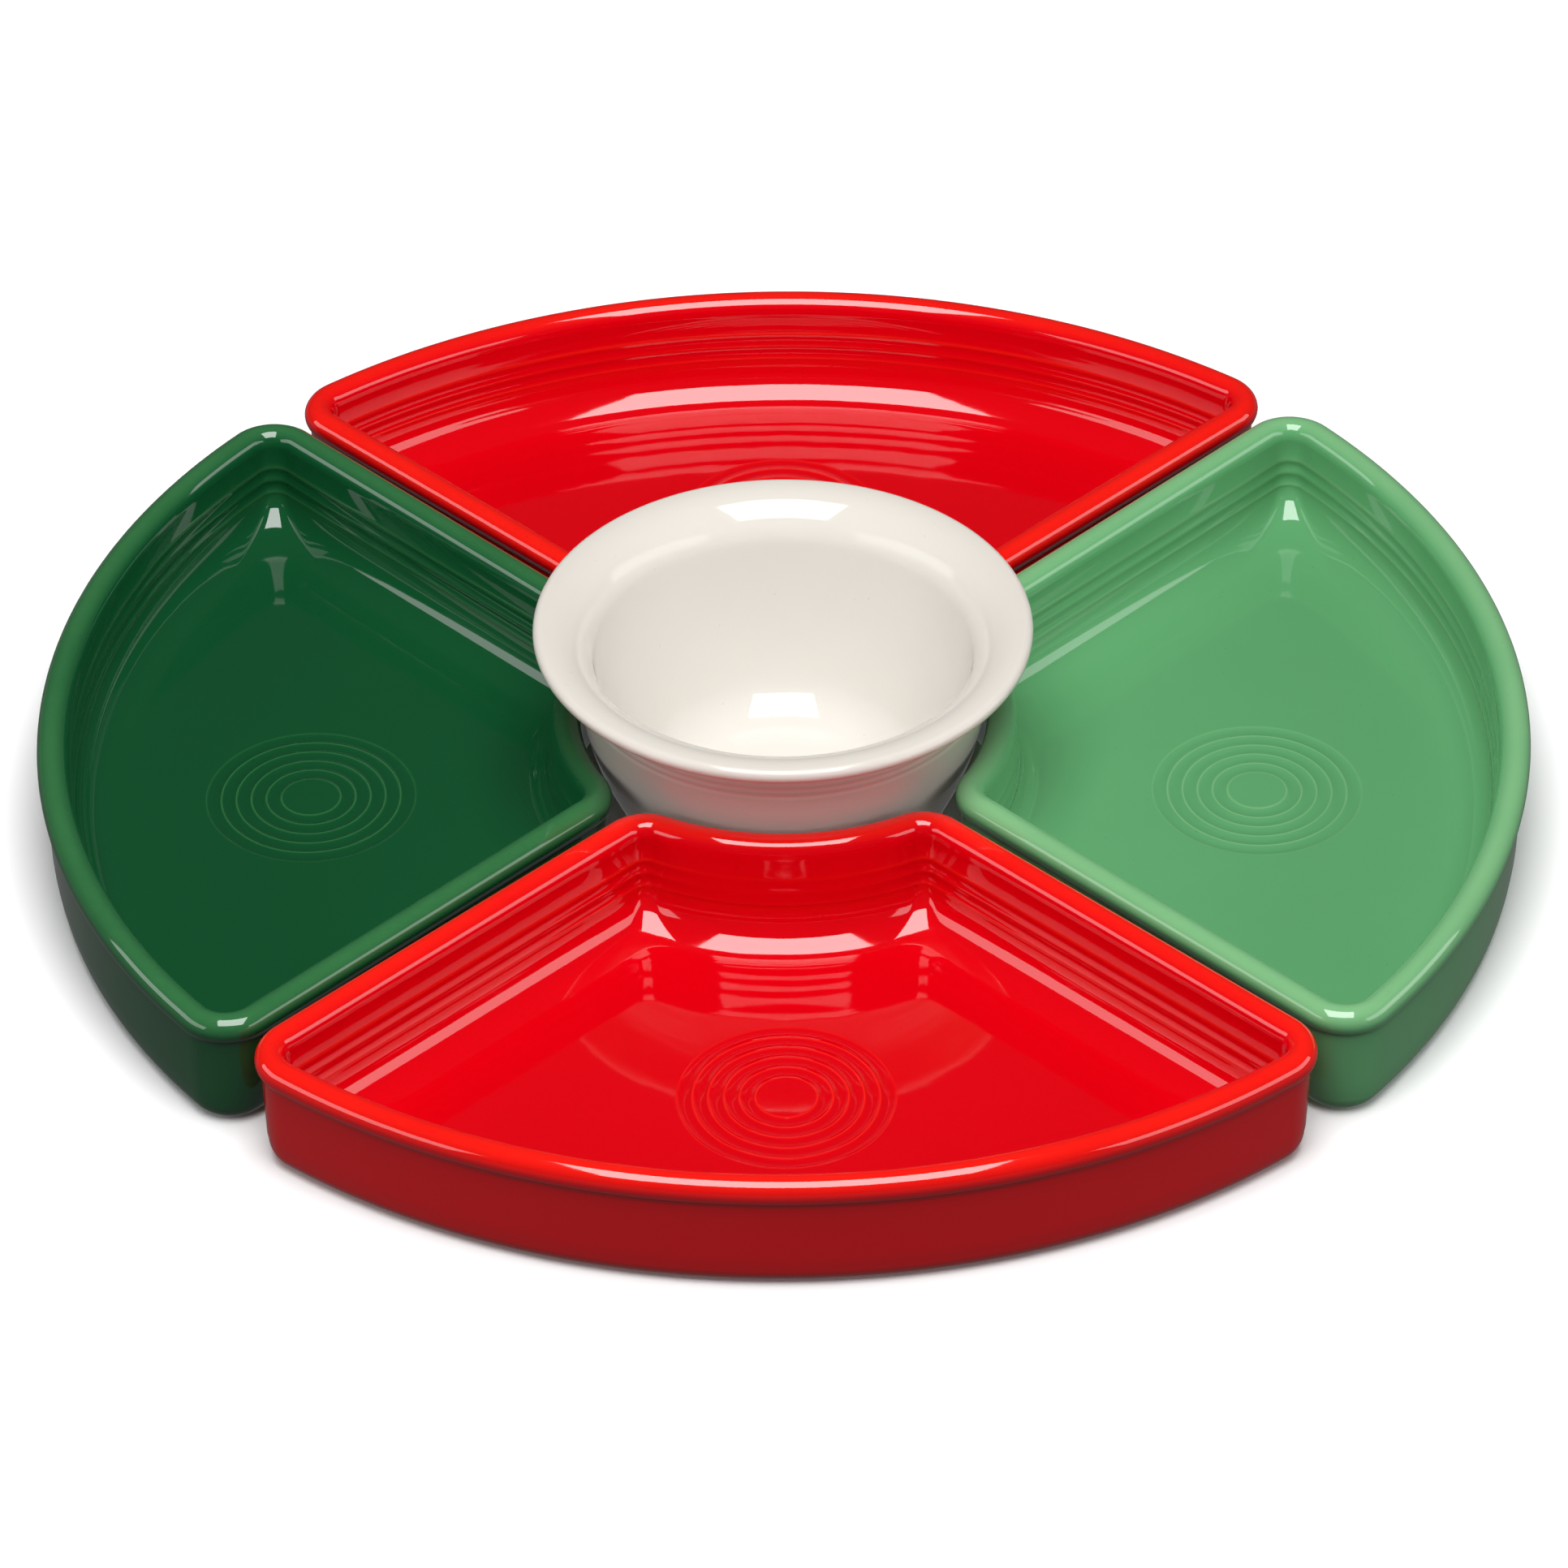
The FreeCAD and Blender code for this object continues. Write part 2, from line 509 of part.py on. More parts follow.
def build_bowl(label):
    body = document.addObject("PartDesign::Body", label)
    body.Label = label
    under = lip_face(-1, value("sizes.body_radius"), value(BODY_BEND))
    above = lip_face(1, value(INSIDE_RADIUS), value(INSIDE_BEND))
    foot_outside = value("sizes.bowl_foot_radius")
    foot_inside = foot_outside - value("sizes.bowl_foot_width")
    floor_edge = (value("sizes.bowl_floor_radius"), value("sizes.bowl_floor"))
    turned = add_turned_body(body, under, above)
    turned = add_ring_fillet(body, "lip_bend_inside", turned, "sizes.bend_inside", *above[0])
    turned = add_ring_fillet(body, "lip_bend_outside", turned, "sizes.bend_outside", *under[0])
    turned = add_ring_fillet(body, "floor_round", turned, "sizes.bowl_floor_round", *floor_edge)
    turned = add_ring_fillet(body, "foot_round_inside", turned, "sizes.bowl_foot_round", foot_inside, 0)
    add_ring_fillet(body, "foot_round_outside", turned, "sizes.bowl_foot_round", foot_outside, 0)
    add_turned_lines(body)
    body.Placement = FreeCAD.Placement()
    return body


def check_and_export(bodies):
    """Stops on any failed object or bad shape, then writes one file for each piece."""
    document.recompute()
    for item in document.Objects:
        if "Invalid" in item.State or "Error" in item.State:
            raise RuntimeError(f"{item.Name} did not build: {item.State}")
    for body in bodies:
        shape = body.Shape
        if shape.isNull() or not shape.isValid() or len(shape.Solids) != 1:
            raise RuntimeError(f"{body.Label} is not one valid solid")
    os.makedirs("parts", exist_ok=True)
    for body in bodies:
        body.Shape.exportStep(f"parts/{body.Label}.step")
        box = body.Shape.optimalBoundingBox()
        print(f"{body.Label}: {body.Shape.Volume / 1000:.1f} cm3, {box}")


pieces = [build_tray(label, turn) for label, turn in TRAYS]
pieces.append(build_bowl("dip_bowl"))
check_and_export(pieces)
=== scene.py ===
import math

import bpy
import numpy as np
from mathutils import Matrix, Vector


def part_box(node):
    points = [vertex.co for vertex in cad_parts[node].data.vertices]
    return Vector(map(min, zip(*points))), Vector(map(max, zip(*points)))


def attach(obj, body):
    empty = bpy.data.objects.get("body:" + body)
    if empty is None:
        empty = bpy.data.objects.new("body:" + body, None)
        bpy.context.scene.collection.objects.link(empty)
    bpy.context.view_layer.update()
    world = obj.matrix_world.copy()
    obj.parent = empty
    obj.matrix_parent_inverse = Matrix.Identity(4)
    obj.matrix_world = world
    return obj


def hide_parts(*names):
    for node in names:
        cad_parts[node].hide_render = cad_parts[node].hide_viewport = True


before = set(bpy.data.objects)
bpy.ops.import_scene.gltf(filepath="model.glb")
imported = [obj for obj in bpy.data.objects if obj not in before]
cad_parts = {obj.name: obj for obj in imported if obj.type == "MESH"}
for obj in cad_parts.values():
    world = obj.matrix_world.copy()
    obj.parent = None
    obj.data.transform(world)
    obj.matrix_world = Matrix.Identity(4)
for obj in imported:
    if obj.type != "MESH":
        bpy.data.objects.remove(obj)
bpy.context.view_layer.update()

mm = 0.001

# THE TRAYS
# Four slip-cast earthenware trays, each a quarter of a ring with a hollow inner end that goes around the
# bowl. All come from one mould: rolled rim, fluted inside wall, sweep to the floor, turned rings, foot band.

tray_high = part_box("tray_back")[1]
far_line = tray_high.y
rim_top = tray_high.z
near_line = 58.37 * mm
outer_radius = 221.2 * mm
inner_radius = 69.4 * mm
side_clearance = 3.15 * mm
side_lean = math.radians(45.42)
outer_corner = 15.2 * mm
inner_corner = 14.2 * mm
bead_radius = 4.3 * mm
bead_overhang = 1.5 * mm
bead_blend = 0.5 * mm
crease_drop = 3.55 * mm
crease_reach = 0.75 * mm
outside_draft = math.tan(math.radians(2))
inside_draft = math.tan(math.radians(5))
base_round = 7 * mm
floor_height = 5 * mm
cove_radius = 12.5 * mm
cove_corner = 24 * mm
ridge_pitch = 4.3 * mm
ridge_count = 3
ridge_glaze_reach = 0.6 * mm
ridge_paleness = (0.7, 0.3, 1.0)
flute_depth = 0.36 * mm
top_flute_depth = 0.22 * mm
crest_softness = 0.7 * mm
bowl_end_fluting = 0.3
ring_centre = 137.3 * mm
ring_plateau = 8.6 * mm
ring_pitch = 4.35 * mm
ring_count = 5
ring_depth = 0.5 * mm
ring_crest_softness = 0.3 * mm
ring_crest_reach = 0.26 * mm
foot_width = 5 * mm
foot_hollow = 1.4 * mm
foot_corner = 4 * mm
least_corner = 0.5 * mm

rim_line = rim_top - bead_radius
cove_top = floor_height + cove_radius
cove_inset = 2 * bead_radius + (rim_line - cove_top) * inside_draft
lowest_ridge = cove_top + 0.2 * mm
highest_ridge = lowest_ridge + (ridge_count - 1) * ridge_pitch
ring_edge = ring_plateau + ring_count * ring_pitch

# Points along each stretch of the plan: long arc, corner, side, corner, short arc, corner, side, corner.
long_points, corner_points, side_points, short_points = 150, 22, 58, 50


def sweep(centre, radius, start, end, points):
    """Points of an arc in plan, without its last one, where the next stretch begins."""
    turn = np.linspace(start, end, points, endpoint=False)
    return np.column_stack([centre[0] + radius * np.cos(turn), centre[1] + radius * np.sin(turn)])


def tray_plan(inset, out_corner, in_corner):
    """The tray's plan, `inset` inside the rim's outermost line, as a closed loop of points."""
    across = np.array([math.cos(side_lean), -math.sin(side_lean)])
    along = np.array([math.sin(side_lean), math.cos(side_lean)])

    def corner_centre(corner, arc_y, reach):
        inward = -across * (side_clearance + inset + corner)
        back = inward @ along - arc_y * along[1]
        spare = inward[0] ** 2 + (inward[1] - arc_y) ** 2 - reach**2
        return inward + along * (-back + math.sqrt(back**2 - spare))

    far_y, near_y = far_line - outer_radius, near_line - inner_radius
    out_centre = corner_centre(out_corner, far_y, outer_radius - inset - out_corner)
    in_centre = corner_centre(in_corner, near_y, inner_radius + inset + in_corner)
    far_turn = math.atan2(out_centre[1] - far_y, out_centre[0])
    near_turn = math.atan2(in_centre[1] - near_y, in_centre[0])
    side_top = out_centre + across * out_corner
    side_foot = in_centre + across * in_corner
    share = np.linspace(0, 1, side_points, endpoint=False)[:, None]
    right_side = side_foot + (side_top - side_foot) * share
    left_side = right_side[::-1] * (-1, 1) + (side_top - side_foot) * (-1, 1) / side_points
    turn = math.pi
    return np.vstack(
        [
            sweep((0, far_y), outer_radius - inset, far_turn, turn - far_turn, long_points),
            sweep(out_centre * (-1, 1), out_corner, turn - far_turn, turn + side_lean, corner_points),
            left_side,
            sweep(in_centre * (-1, 1), in_corner, turn + side_lean, 2 * turn - near_turn, corner_points),
            sweep((0, near_y), inner_radius + inset, turn - near_turn, near_turn, short_points),
            sweep(in_centre, in_corner, near_turn - turn, -side_lean, corner_points),
            right_side,
            sweep(out_centre, out_corner, -side_lean, far_turn, corner_points),
        ]
    )


def softened(values, spacing, softness):
    """A profile with its cusps rounded off over a width of `softness` to each side."""
    reach = max(1, round(softness / spacing))
    padded = np.pad(values, reach, mode="edge")
    return np.convolve(padded, np.ones(2 * reach + 1) / (2 * reach + 1), mode="valid")


def tray_section():
    """The tray's section from the foot, up the outside, over the rim and down to the floor.

    Each row is (inset, height, share of the sweep's corners, thin glaze, thick glaze, bare clay), and on
    the fluted inside wall the depth of its flute as well.
    """
    rows = []
    base_inset = bead_overhang + rim_line * outside_draft + base_round
    for inset, height in ((foot_width + 0.2 * mm, foot_hollow), (foot_width, foot_hollow - 0.2 * mm),
                          (foot_width, 0.35 * mm), (foot_width - 0.1 * mm, 0.1 * mm),
                          (foot_width - 0.35 * mm, 0)):
        rows.append((base_inset + inset, height, 0, 0, 0.4, 0))
    for share in (0.85, 0.6, 0.35, 0.1):
        rows.append((base_inset + foot_width * share, 0, 0, 0, 0, 1))
    for turn in np.radians(np.linspace(90, 0, 13)):
        height = base_round * (1 - math.sin(turn))
        bare = 1.0 if turn > math.radians(80) else 0.0
        rows.append((base_inset - base_round * math.cos(turn), height, 0, 0, 0, bare))
    for height in np.linspace(base_round + 2 * mm, rim_line - 7.5 * mm, 8):
        rows.append((bead_overhang + (rim_line - height) * outside_draft, height, 0, 0, 0, 0))
    for height in np.linspace(rim_line - 7 * mm, rim_line - 1.6 * mm, 20):
        wall = bead_overhang + (rim_line - height) * outside_draft
        drop = min(abs(height - rim_line), bead_radius)
        bead = bead_radius - math.sqrt(bead_radius**2 - drop**2)
        closeness = max(bead_blend - abs(wall - bead), 0) / bead_blend
        crease = math.exp(-(((height - (rim_line - crease_drop)) / crease_reach) ** 2))
        rows.append((min(wall, bead) - closeness**2 * bead_blend / 4, height, 0, 0, crease, 0))
    for turn in np.radians(np.linspace(-18, 180, 34)):
        thin = max(math.sin(turn * 1.2), 0) ** 0.7 if turn > 0 else 0
        height = rim_line + bead_radius * math.sin(turn)
        rows.append((bead_radius * (1 - math.cos(turn)), height, 0, thin, 0, 0))
    spacing = 0.1 * mm
    heights = np.arange(rim_line - 0.4 * mm, cove_top, -spacing)
    crest_share = np.zeros(len(heights))
    depth = np.zeros(len(heights))
    for index, height in enumerate(heights):
        if height > highest_ridge:
            span, foot, full = rim_line - highest_ridge, highest_ridge, top_flute_depth
        else:
            foot = lowest_ridge + ridge_pitch * math.floor(max(height - lowest_ridge, 0) / ridge_pitch)
            span, full = ridge_pitch, flute_depth
        share = min(max((height - foot) / span, 0), 1)
        depth[index] = full * 4 * share * (1 - share)
        for step, strength in enumerate(ridge_paleness):
            from_ridge = (height - lowest_ridge - ridge_pitch * step) / ridge_glaze_reach
            crest_share[index] += strength * math.exp(-(from_ridge**2))
    depth = softened(depth, spacing, crest_softness)
    for index in range(0, len(heights), 4):
        height = heights[index]
        inset = 2 * bead_radius + (rim_line - height) * inside_draft + 0.1 * mm
        pale = crest_share[index]
        rows.append((inset, height, 0, pale * 0.9, 0.55 * (1 - pale), 0, depth[index]))
    for turn in np.radians(np.linspace(0, 90, 17)):
        swept = 1 - math.cos(turn)
        rows.append((cove_inset + cove_radius * swept, cove_top - cove_radius * math.sin(turn), swept,
                     0.25 * math.exp(-turn * 6), 0.6 * min(turn, 1), 0))
    return rows


def tray_loops():
    """The tray as closed loops of points with a glaze value for each, from under it to its middle."""
    loops, glaze = [], []
    section = tray_section()
    middle = np.array([0, ring_centre])
    under = tray_plan(section[0][0], foot_corner, foot_corner)
    for share in (0.02, 0.3, 0.6, 0.85, 0.97):
        flat = middle + (under - middle) * share
        loops.append(np.column_stack([flat, np.full(len(flat), foot_hollow)]))
        glaze.append((0, 0.4, 0))
    fluting = np.ones(len(under))
    bowl_end = long_points + side_points + 2 * corner_points
    fluting[bowl_end : bowl_end + short_points] = bowl_end_fluting
    fluting = softened(fluting, 1, corner_points / 2)
    for inset, height, swept, thin, thick_and_painted_fill, bare, *flute in section:
        under_foot = inset > cove_inset and height < 2 * mm and swept == 0
        smallest = foot_corner if under_foot else least_corner
        corners = []
        for corner in (outer_corner, inner_corner):
            kept = max(corner - min(inset, cove_inset), smallest)
            corners.append(kept * (1 - swept) + cove_corner * swept)
        flat = tray_plan(inset, *corners)
        shade = np.broadcast_to((thin, thick_and_painted_fill, bare), (len(flat), 3))
        if flute:
            flat += (tray_plan(inset - flute[0], *corners) - flat) * fluting[:, None]
            shade = shade * np.column_stack([fluting, fluting, fluting])
        loops.append(np.column_stack([flat, np.full(len(flat), height)]))
        glaze.append(shade)
    floor_loop = loops[-1][:, :2]
    bearing = np.unwrap(np.arctan2(floor_loop[:, 1] - ring_centre, floor_loop[:, 0]))
    even = bearing[0] + np.linspace(0, 2 * math.pi, len(bearing), endpoint=False)
    even += (bearing - even).mean()
    round_reach = ring_edge + 1.2 * mm
    ring_directions = np.column_stack([np.cos(even), np.sin(even)])
    for share in (0.12, 0.28, 0.46, 0.64, 0.82):
        flat = floor_loop * (1 - share) + (middle + ring_directions * round_reach) * share
        loops.append(np.column_stack([flat, np.full(len(flat), floor_height)]))
        glaze.append((0, 0.6, 0))
    spacing = 0.03 * mm
    radii = np.arange(round_reach, ring_plateau - 1.2 * mm, -spacing)
    share = np.clip((radii - ring_plateau) / ring_pitch, 0, ring_count)
    groove = share - np.floor(share)
    depth = softened(ring_depth * 4 * groove * (1 - groove), spacing, ring_crest_softness)
    crests = ring_plateau + ring_pitch * np.arange(ring_count + 1)
    from_crest = np.abs(radii[:, None] - crests).min(axis=1)
    crest = np.exp(-((from_crest / ring_crest_reach) ** 2))
    crest[radii > ring_edge - ring_pitch / 2] *= 0.4
    last = 0
    for index in range(len(radii)):
        if index - last < (4 if from_crest[index] < 0.7 * mm else 18):
            continue
        last = index
        flat = middle + ring_directions * radii[index]
        loops.append(np.column_stack([flat, np.full(len(flat), floor_height - depth[index])]))
        glaze.append((crest[index], 0.6 + 0.4 * depth[index] / ring_depth, 0))
    for radius in (5.5 * mm, 3.5 * mm, 1.6 * mm, 0.3 * mm):
        flat = middle + ring_directions * radius
        loops.append(np.column_stack([flat, np.full(len(flat), floor_height)]))
        glaze.append((0, 0.6, 0))
    return loops, glaze


def fired_piece(name, loops, glaze, quarter_turns):
    """A closed mesh skinned over loops of points, with its glaze values kept on its points."""
    count = len(loops[0])
    points = np.vstack(loops)
    for _ in range(quarter_turns):
        points = np.column_stack([-points[:, 1], points[:, 0], points[:, 2]])
    points = np.vstack([points, points[:count].mean(axis=0), points[-count:].mean(axis=0)])
    faces = []
    for row in range(len(loops) - 1):
        low, high = row * count, (row + 1) * count
        for step in range(count):
            after = (step + 1) % count
            faces.append((low + step, low + after, high + after, high + step))
    under, over = len(points) - 2, len(points) - 1
    last = (len(loops) - 1) * count
    for step in range(count):
        after = (step + 1) % count
        faces.append((under, after, step))
        faces.append((over, last + step, last + after))
    mesh = bpy.data.meshes.new(name)
    mesh.from_pydata(points.tolist(), [], faces)
    mesh.polygons.foreach_set("use_smooth", np.ones(len(mesh.polygons), bool))
    values = np.vstack([np.broadcast_to(shade, (count, 3)) for shade in glaze]).astype(np.float32)
    values = np.vstack([values, values[0], values[-1]])
    for column, kind in enumerate(("thin_glaze", "thick_glaze_and_painted_fill", "bare_clay")):
        mesh.attributes.new(kind, "FLOAT", "POINT").data.foreach_set("value", values[:, column].copy())
    mesh.update()
    piece = bpy.data.objects.new(name, mesh)
    bpy.context.scene.collection.objects.link(piece)
    return piece


class Wire:
    """An output of a shader node. Arithmetic on it adds the Math nodes that work it out."""

    def __init__(self, socket):
        self.socket = socket

    @classmethod
    def node(cls, tree, kind, settings=None, sockets=None, output=0):
        """Adds a node of any kind: its settings first, then a value or a wire for each socket named."""
        added = tree.nodes.new(kind)
        for setting, value in (settings or {}).items():
            setattr(added, setting, value)
        for key, value in (sockets or {}).items():
            socket = added.inputs[key]
            if isinstance(value, Wire):
                tree.links.new(value.socket, socket)
            elif socket.type == "RGBA":
                socket.default_value = (*value, 1)
            else:
                socket.default_value = value
        return cls(added.outputs[output]) if added.outputs else None

    def maths(self, operation, first, second):
        tree = self.socket.id_data
        return Wire.node(tree, "ShaderNodeMath", {"operation": operation}, {0: first, 1: second})

    def __add__(self, other):
        return self.maths("ADD", self, other)

    __radd__ = __add__

    def __mul__(self, other):
        return self.maths("MULTIPLY", self, other)

    __rmul__ = __mul__

    def __sub__(self, other):
        return self.maths("SUBTRACT", self, other)

    def __rsub__(self, other):
        return self.maths("SUBTRACT", other, self)

    def between(self, low, high):
        """How far this wire has come from `low` to `high`, kept within 0 to 1."""
        sockets = {"Value": self, "From Min": low, "From Max": high}
        return Wire.node(self.socket.id_data, "ShaderNodeMapRange", None, sockets)

    def tint(self, first, second):
        """Mixes two colours, with as much of the second as this wire says."""
        settings = {"data_type": "RGBA", "clamp_factor": True}
        return Wire.node(self.socket.id_data, "ShaderNodeMix", settings, {0: self, 6: first, 7: second}, 2)


def glazed_clay(name, full, thin, thick_and_painted_fill, speck_colour, shine=1.6):
    """Glossy glaze over pale clay: lighter where it runs thin over edges, deeper where it pools. On the
    ivory the thick colour is lighter instead: painted fill light where shade falls inside the bowl and under
    its lip.
    """
    material = bpy.data.materials.new(name)
    material.use_nodes = True
    tree = material.node_tree
    tree.nodes.clear()
    place = Wire.node(tree, "ShaderNodeTexCoord", output=3)

    def painted(kind):
        return Wire.node(tree, "ShaderNodeAttribute", {"attribute_name": kind}, output=2)

    def noise(scale, detail):
        sockets = {"Vector": place, "Scale": scale, "Detail": detail}
        return Wire.node(tree, "ShaderNodeTexNoise", None, sockets)

    thin_mask, thick_glaze_and_painted_fill_mask, bare_mask = painted("thin_glaze"), painted("thick_glaze_and_painted_fill"), painted("bare_clay")
    cloud, ripple, fine = noise(30.0, 3.0), noise(85.0, 1.0), noise(420.0, 2.0)
    # The thick colour is pooled glaze on the trays and painted fill light on the ivory bowl.
    colour = (thick_glaze_and_painted_fill_mask * (0.7 + 0.6 * cloud)).tint(full, thick_and_painted_fill)
    colour = (thin_mask * (0.45 + 0.7 * cloud + 0.2 * fine)).tint(colour, thin)
    cells = Wire.node(tree, "ShaderNodeTexVoronoi", None, {"Vector": place, "Scale": 150.0})
    colour = (0.3 * (1 - cells.between(0.02, 0.06))).tint(colour, speck_colour)
    clay = fine.tint((0.62, 0.5, 0.38), (0.74, 0.63, 0.5))
    colour = bare_mask.tint(colour, clay)
    roughness = 0.03 + 0.04 * fine + bare_mask * 0.7
    height = ripple * 0.5 + bare_mask * fine * 0.5
    bump = Wire.node(tree, "ShaderNodeBump", None, {"Strength": 0.1, "Distance": 0.001, "Height": height})
    sockets = {"Base Color": colour, "Roughness": roughness, "Normal": bump, "IOR": shine}
    shader = Wire.node(tree, "ShaderNodeBsdfPrincipled", None, sockets)
    Wire.node(tree, "ShaderNodeOutputMaterial", None, {"Surface": shader})
    return material


red = glazed_clay(
    "red_glaze",
    full=(0.60, 0.0, 0.004),
    thin=(0.74, 0.01, 0.005),
    thick_and_painted_fill=(0.55, 0.0, 0.004),
    speck_colour=(0.2, 0.01, 0.01),
)
dark_green = glazed_clay(
    "dark_green_glaze",
    full=(0.0052, 0.073, 0.0225),
    thin=(0.03, 0.135, 0.045),
    thick_and_painted_fill=(0.004, 0.060, 0.018),
    speck_colour=(0.01, 0.03, 0.015),
)
light_green = glazed_clay(
    "light_green_glaze",
    full=(0.108, 0.335, 0.14),
    thin=(0.17, 0.39, 0.18),
    thick_and_painted_fill=(0.092, 0.30, 0.122),
    speck_colour=(0.04, 0.14, 0.05),
)

loops, glaze = tray_loops()
for node, slot, finish, quarter_turns in (
    ("tray_back", "red_glaze", red, 0),
    ("tray_left", "dark_green_glaze", dark_green, 1),
    ("tray_front", "red_glaze", red, 2),
    ("tray_right", "light_green_glaze", light_green, 3),
):
    tray = fired_piece(f"{node}_fired", loops, glaze, quarter_turns)
    tray.data.materials.append(finish)
    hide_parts(node)
    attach(tray, node)

# THE DIP BOWL
# A turned ivory bowl with a flared lip, round body and foot ring. It stands loose on the table between the
# trays' hollow ends, and fine turned lines run around it just under the lip.

bowl_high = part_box("dip_bowl")[1]
lip_radius = bowl_high.x
bowl_height = bowl_high.z
lip_edge = 2.2 * mm
lip_flat = 1.1 * mm
lip_rise = math.radians(15)
flare = 13.9 * mm
flare_turn = math.radians(82)
body_radius = 59.6 * mm
widest_line = bowl_height - 10.5 * mm
bend_outside = 3 * mm
bowl_floor = 6 * mm
bowl_floor_radius = 26 * mm
floor_bend = 18 * mm
floor_bend_turn = math.radians(62)
bowl_foot_radius = 46 * mm
bowl_foot_width = 4.5 * mm
bowl_foot_hollow = 2.5 * mm
bowl_foot_round = 0.8 * mm
bowl_foot_height = 6.2 * mm
turned_line_drop = 13.4 * mm
turned_line_pitch = 2.3 * mm
turned_line_count = 3
turned_line_depth = 0.3 * mm
turned_line_reach = 0.75 * mm
bowl_points = 320


def around_bend(start, corner, end, radius, points):
    """A rounded corner: the arc of `radius` that leaves start-corner and joins corner-end."""
    start, corner, end = (np.array(point) for point in (start, corner, end))
    back = (start - corner) / np.linalg.norm(start - corner)
    ahead = (end - corner) / np.linalg.norm(end - corner)
    half = math.acos(np.clip(back @ ahead, -1, 1)) / 2
    middle = (back + ahead) / np.linalg.norm(back + ahead)
    centre = corner + middle * radius / math.sin(half)
    first, last = corner + back * radius / math.tan(half), corner + ahead * radius / math.tan(half)
    begin = math.atan2(first[1] - centre[1], first[0] - centre[0])
    sweep_turn = math.atan2(last[1] - centre[1], last[0] - centre[0]) - begin
    sweep_turn = (sweep_turn + math.pi) % (2 * math.pi) - math.pi
    turns = begin + np.linspace(0, sweep_turn, points)
    return [(centre[0] + radius * math.cos(turn), centre[1] + radius * math.sin(turn)) for turn in turns]


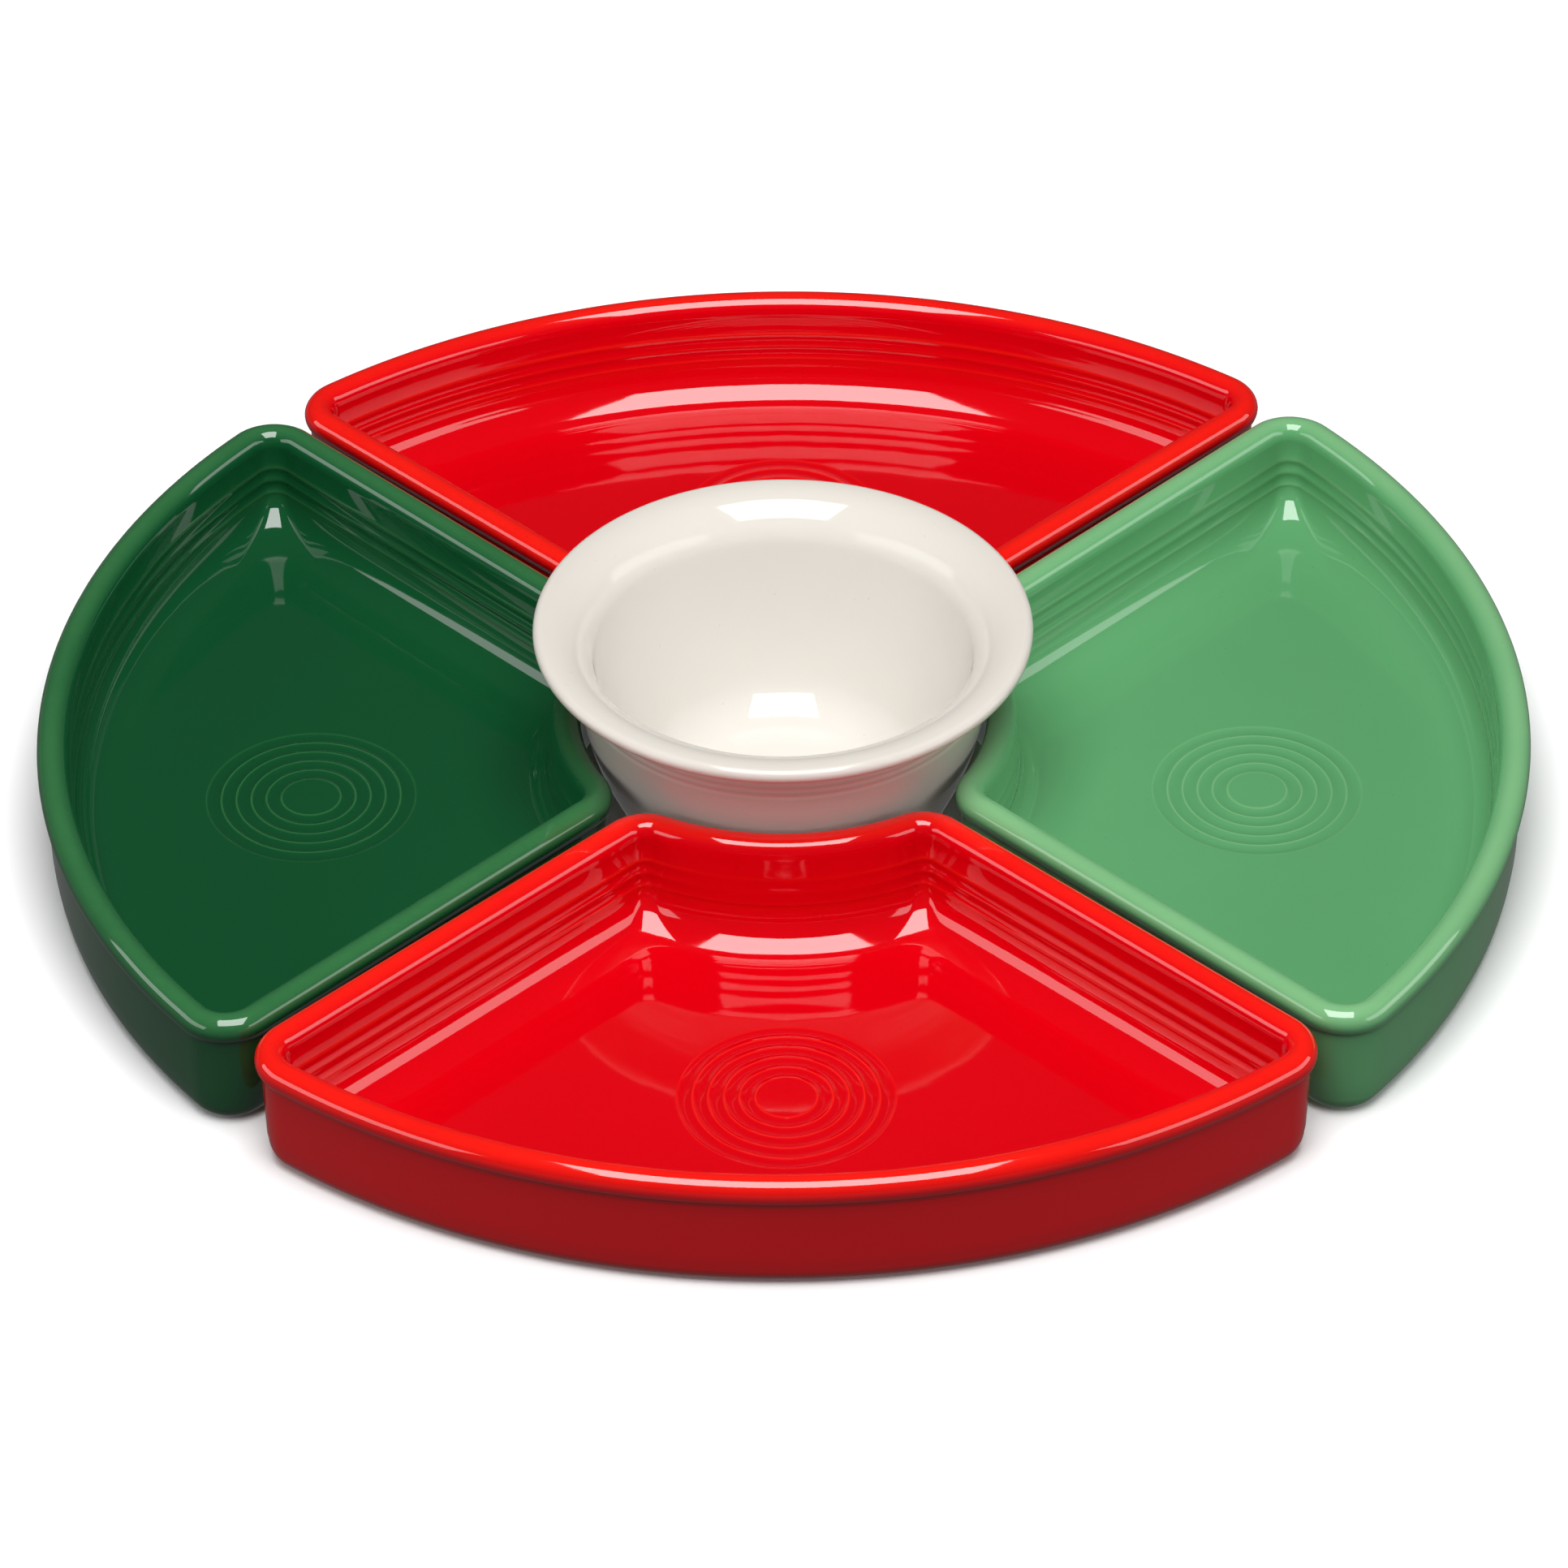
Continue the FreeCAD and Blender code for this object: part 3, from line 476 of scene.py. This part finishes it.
def bowl_section():
    """Rows of (radius, height, thin glaze, thick glaze and painted fill light, bare clay) from under the
    foot to the inside.
    """
    foot_inside = bowl_foot_radius - bowl_foot_width
    rows = []
    for share in (0.01, 0.1, 0.25, 0.45, 0.65, 0.85):
        rows.append((foot_inside * share, bowl_foot_hollow, 0, 0.3, 0))
    roof = around_bend((0, bowl_foot_hollow), (foot_inside, bowl_foot_hollow), (foot_inside, 0), 1 * mm, 6)
    rows += [(out, up, 0, 0.3, 0) for out, up in roof]
    inner_edge, outer_edge = (foot_inside, 0), (bowl_foot_radius, 0)
    for start, corner, end in (
        ((foot_inside, 2 * mm), inner_edge, outer_edge),
        (inner_edge, outer_edge, (bowl_foot_radius, 3 * mm)),
    ):
        bend = around_bend(start, corner, end, bowl_foot_round, 7)
        rows += [(out, up, 0, 0, 1.0 if up < 0.3 * mm else 0.0) for out, up in bend]
    run, rise = body_radius - bowl_foot_radius, widest_line - bowl_foot_height
    body_bend = (run**2 + rise**2) / (2 * run)
    body_centre = body_radius - body_bend
    start_turn = math.atan2(bowl_foot_height - widest_line, bowl_foot_radius - body_centre)

    def body_point(turn):
        return (body_centre + body_bend * math.cos(turn), widest_line + body_bend * math.sin(turn))

    shoulder = body_point(start_turn + 0.05)
    rows += [(out, up, 0, 0.7, 0) for out, up in around_bend(
        (bowl_foot_radius, 2 * mm), (bowl_foot_radius, bowl_foot_height), shoulder, 1.5 * mm, 6)]
    lip_out, lip_up = lip_radius - lip_edge, bowl_height - lip_edge
    slope = math.tan(lip_rise)
    under_touch = (lip_out + lip_edge * math.sin(lip_rise), lip_up - lip_edge * math.cos(lip_rise))

    def under_line(out):
        return under_touch[1] - (under_touch[0] - out) * slope

    lines = [bowl_height - turned_line_drop - turned_line_pitch * step for step in range(turned_line_count)]
    last_turn = math.asin((under_line(body_radius) - bend_outside * 0.8 - widest_line) / body_bend)
    for turn in np.linspace(start_turn + 0.06, last_turn, 110):
        out, up = body_point(turn)
        nearest = min(abs(up - level) for level in lines)
        cut = turned_line_depth * max(0, 1 - (nearest / turned_line_reach) ** 2) ** 0.5
        rows.append((out - cut * 0.8, up, 0, cut / turned_line_depth, 0))
    neck = body_point(last_turn)
    bend = around_bend(neck, (body_radius, under_line(body_radius)), under_touch, bend_outside * 0.9, 8)
    rows += [(out, up, 0, 0.5, 0) for out, up in bend]
    for out in np.linspace(bend[-1][0] + 1 * mm, under_touch[0] - 0.5 * mm, 6):
        rows.append((out, under_line(out), 0, 0, 0))
    for turn in np.linspace(lip_rise - math.pi / 2, math.pi / 2, 18):
        thin = max(math.cos(turn - 0.5), 0)
        rows.append((lip_out + lip_edge * math.cos(turn), lip_up + lip_edge * math.sin(turn), thin, 0, 0))
    flare_centre = np.array([lip_out - lip_flat, bowl_height - flare])
    for turn in np.linspace(0, flare_turn, 34):
        out, up = flare_centre + flare * np.array([-math.sin(turn), math.cos(turn)])
        rows.append((out, up, 0, math.sin(turn) ** 3, 0))
    wall_top = np.array([out, up])
    steep = np.array([math.cos(floor_bend_turn), math.sin(floor_bend_turn)])
    bend_centre = np.array([bowl_floor_radius, bowl_floor + floor_bend])
    wall_foot = bend_centre + floor_bend * np.array([steep[1], -steep[0]])
    chord = wall_top - wall_foot
    half_turn = math.atan2(chord[1], chord[0]) - floor_bend_turn
    belly = np.linalg.norm(chord) / (2 * math.sin(half_turn))
    belly_centre = wall_foot + belly * np.array([-steep[1], steep[0]])
    # The inside wall, its bend and the floor take the thick value, which on the ivory paints fill light into
    # the bowl's shaded inside.
    for turn in np.linspace(floor_bend_turn + 2 * half_turn, floor_bend_turn, 36)[1:]:
        rows.append((*(belly_centre + belly * np.array([math.sin(turn), -math.cos(turn)])), 0, 1, 0))
    for turn in np.linspace(floor_bend_turn, 0, 22)[1:]:
        rows.append((*(bend_centre + floor_bend * np.array([math.sin(turn), -math.cos(turn)])), 0, 0.9, 0))
    for share in (0.85, 0.7, 0.55, 0.4, 0.25, 0.12, 0.02):
        rows.append((bowl_floor_radius * share, bowl_floor, 0, 0.8, 0))
    return rows


bearing = np.linspace(0, 2 * math.pi, bowl_points, endpoint=False)
section = bowl_section()
bowl_loops = [
    np.column_stack([out * np.cos(bearing), out * np.sin(bearing), np.full(bowl_points, up)])
    for out, up, *_ in section
]
# The ivory's thick colour is lighter than its full colour: on the bowl's inside, under its lip and around
# its foot it is painted fill light where shade falls.
ivory = glazed_clay(
    "ivory_glaze",
    full=(0.575, 0.54, 0.49),
    thin=(0.59, 0.555, 0.51),
    thick_and_painted_fill=(0.66, 0.63, 0.585),
    speck_colour=(0.4, 0.33, 0.25),
    shine=1.4,
)
bowl = fired_piece("dip_bowl_fired", bowl_loops, [row[2:] for row in section], 0)
bowl.data.materials.append(ivory)
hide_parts("dip_bowl")
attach(bowl, "dip_bowl")

# THE TABLE
# A plain white sheet that the set stands on. Away from the set it glows, so that it stays white where the
# lamps no longer reach. The glaze doesn't mirror it and takes no light from it.

table_reach = 40
table_mesh = bpy.data.meshes.new("table")
corners = [(-table_reach, -table_reach, 0), (table_reach, -table_reach, 0), (table_reach, table_reach, 0),
           (-table_reach, table_reach, 0)]
table_mesh.from_pydata(corners, [], [(0, 1, 2, 3)])
table = bpy.data.objects.new("table", table_mesh)
bpy.context.scene.collection.objects.link(table)
table.visible_glossy = False
table.visible_diffuse = False
white = bpy.data.materials.new("white_sheet")
white.use_nodes = True
paper_tree = white.node_tree
paper_tree.nodes.clear()
table_place = Wire.node(paper_tree, "ShaderNodeTexCoord", output=3)
from_middle = Wire.node(paper_tree, "ShaderNodeVectorMath", {"operation": "LENGTH"}, {0: table_place}, 1)
paper = Wire.node(
    paper_tree,
    "ShaderNodeBsdfPrincipled",
    None,
    {
        "Base Color": (0.93, 0.93, 0.93),
        "Roughness": 0.9,
        "Specular IOR Level": 0.0,
        "Emission Color": from_middle.between(0.22, 0.6).tint((0, 0, 0), (1, 1, 1)),
        "Emission Strength": 1.0,
    },
)
Wire.node(paper_tree, "ShaderNodeOutputMaterial", None, {"Surface": paper})
table_mesh.materials.append(white)

# THE STUDIO
# One large softbox over the set and a little to the front, and a low one on each side, in a dark room that
# is a little lighter below the horizon. The camera stands 2.2 m away and looks down at 38 degrees.


def softbox(name, place, aim, width, length, brightness):
    light = bpy.data.lights.new(name, "AREA")
    light.shape = "RECTANGLE"
    light.size, light.size_y = width, length
    light.energy = brightness * math.pi * width * length
    lamp = bpy.data.objects.new(name, light)
    bpy.context.scene.collection.objects.link(lamp)
    lamp.location = place
    lamp.rotation_euler = (Vector(aim) - Vector(place)).to_track_quat("-Z", "Y").to_euler()


softbox("overhead_softbox", (0, -0.345, 1.38), (0, 0.335, 0.65), 0.85, 1.3, 8.6)
softbox("left_softbox", (-1.92, -0.55, 0.7), (0, 0, 0.1), 2.5, 0.8, 2.6)
softbox("right_softbox", (1.92, -0.55, 0.7), (0, 0, 0.1), 2.5, 0.8, 2.6)

world = bpy.data.worlds.new("dark_room")
bpy.context.scene.world = world
world.use_nodes = True
room = world.node_tree
room.nodes.clear()
room_side = Wire.node(room, "ShaderNodeTexCoord")
room_height = Wire.node(room, "ShaderNodeSeparateXYZ", None, {0: room_side}, 2)
light_below, light_above = (0.14, 0.14, 0.14), (0.04, 0.04, 0.04)
room_light = room_height.between(-0.05, 0.05).tint(light_below, light_above)
backdrop = Wire.node(room, "ShaderNodeBackground", None, {"Color": room_light})
Wire.node(room, "ShaderNodeOutputWorld", None, {"Surface": backdrop})

camera = bpy.data.objects.new("camera", bpy.data.cameras.new("camera"))
bpy.context.scene.collection.objects.link(camera)
camera.data.sensor_width = 36
camera.data.lens = 176.6
camera.data.clip_end = 100
camera_distance = 2.236
camera_angle = math.radians(37.76)
aim_height = 8.4 * mm
roll = math.radians(-0.42)
camera.location = (0, -camera_distance * math.cos(camera_angle), camera_distance * math.sin(camera_angle))
look = Vector((0, 0, aim_height)) - camera.location
camera.rotation_euler = look.to_track_quat("-Z", "Y").to_euler()
camera.rotation_euler.rotate_axis("Z", roll)
bpy.context.scene.camera = camera
bpy.context.scene.view_settings.view_transform = "Standard"
